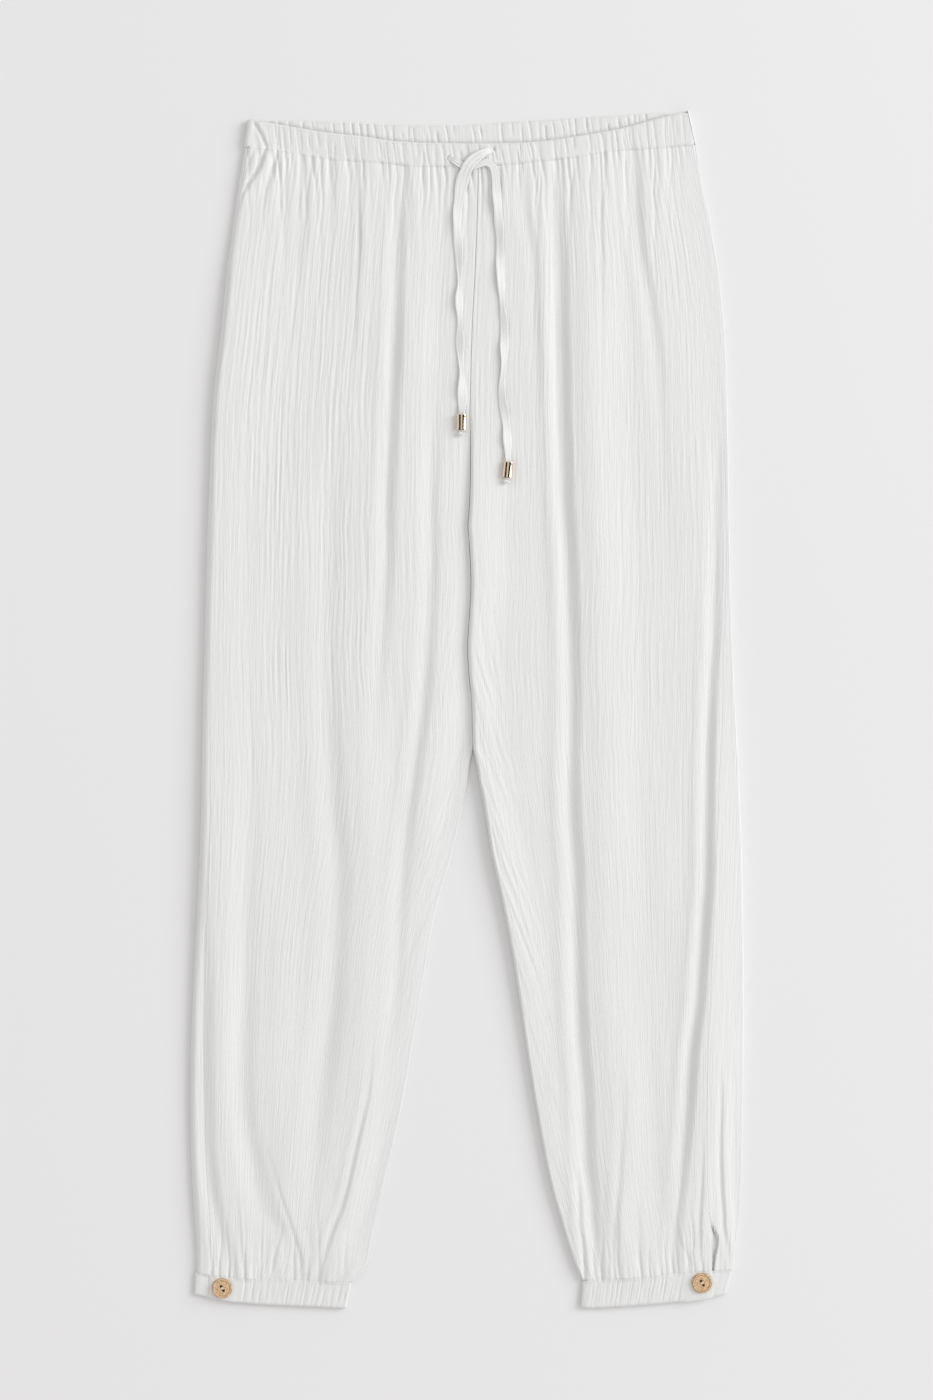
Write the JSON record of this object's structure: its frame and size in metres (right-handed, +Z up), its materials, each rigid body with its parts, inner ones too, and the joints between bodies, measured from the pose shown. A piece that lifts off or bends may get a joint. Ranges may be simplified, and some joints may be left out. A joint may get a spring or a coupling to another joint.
{
  "type": "jogger pants",
  "caption": "Crinkled cotton gauze pull-on jogger pants laid flat, with a gathered drawstring waist, side pockets and gathered ankle cuffs closed by a button tab.",
  "frame": {"origin": "centre of the garment's bounding box on the surface it lies on, measured without the drawstring strands and their tips", "axes": "+Y from the ankle cuffs to the waist, +X to the right as seen from above with the waist away from the viewer, +Z up out of the surface through the front of the garment"},
  "size_m": [0.4652, 1.0048, 0.0107],
  "materials": {
    "gauze_front_left": "crinkled off-white cotton gauze",
    "gauze_front_right": "crinkled off-white cotton gauze",
    "gauze_back_left": "crinkled off-white cotton gauze",
    "gauze_back_right": "crinkled off-white cotton gauze",
    "gauze_pocket_left": "crinkled off-white cotton gauze",
    "gauze_pocket_right": "crinkled off-white cotton gauze",
    "gauze_band_front": "crinkled off-white cotton gauze",
    "gauze_band_back": "crinkled off-white cotton gauze",
    "gauze_cuff_left": "crinkled off-white cotton gauze",
    "gauze_cuff_right": "crinkled off-white cotton gauze",
    "wood_button_left": "light wood, fine grain, satin",
    "wood_button_right": "light wood, fine grain, satin",
    "cotton_tape_left": "plain off-white cotton",
    "cotton_tape_right": "plain off-white cotton",
    "brass_tip_left": "polished pale gold",
    "brass_tip_right": "polished pale gold",
    "cotton_knot_left": "plain off-white cotton",
    "cotton_knot_right": "plain off-white cotton"
  },
  "bodies": {
    "root": {"front_left_leg": "gauze_front_left", "front_right_leg": "gauze_front_right", "back_left_leg": "gauze_back_left", "back_right_leg": "gauze_back_right", "pocket_left": "gauze_pocket_left", "pocket_right": "gauze_pocket_right", "waistband_front": "gauze_band_front", "waistband_back": "gauze_band_back", "cuff_left": "gauze_cuff_left", "cuff_right": "gauze_cuff_right", "button_left": "wood_button_left", "button_right": "wood_button_right", "tie_left": "cotton_tape_left", "tie_right": "cotton_tape_right", "tip_left": "brass_tip_left", "tip_right": "brass_tip_right", "knot_left": "cotton_knot_left", "knot_right": "cotton_knot_right"}
  },
  "joints": []
}
